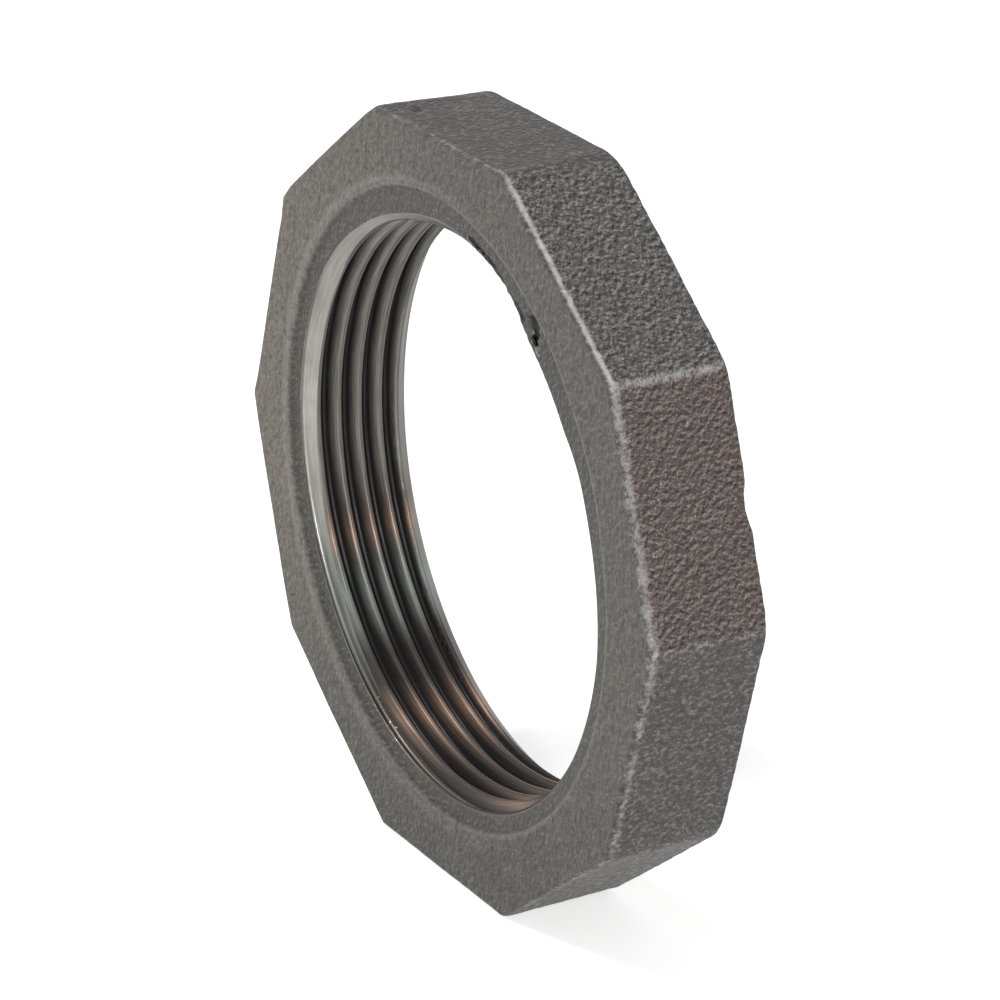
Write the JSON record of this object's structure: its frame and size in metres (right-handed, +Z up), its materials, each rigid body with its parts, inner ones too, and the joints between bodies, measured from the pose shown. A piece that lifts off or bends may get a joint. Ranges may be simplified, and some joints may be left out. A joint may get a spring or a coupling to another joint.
{
  "type": "pipe locknut",
  "caption": "Flat ten-sided cast-iron locknut with a parallel pipe thread through it and a shallow recess round the bore on its front face.",
  "frame": {"origin": "middle of the bore, on its axis and at half the nut's thickness", "axes": "+Y runs along the bore, away from the recessed front face; +Z is up, square to the flat that the nut stands on; +X is square to both and points at a corner"},
  "size_m": [0.0786, 0.0126, 0.075],
  "materials": {
    "cast_iron": "dark grey as-cast skin with a fine sand texture, brighter on the worn edges; bare machined metal on the chamfers and in the thread"
  },
  "bodies": {
    "root": {"locknut": "cast_iron"}
  },
  "joints": []
}
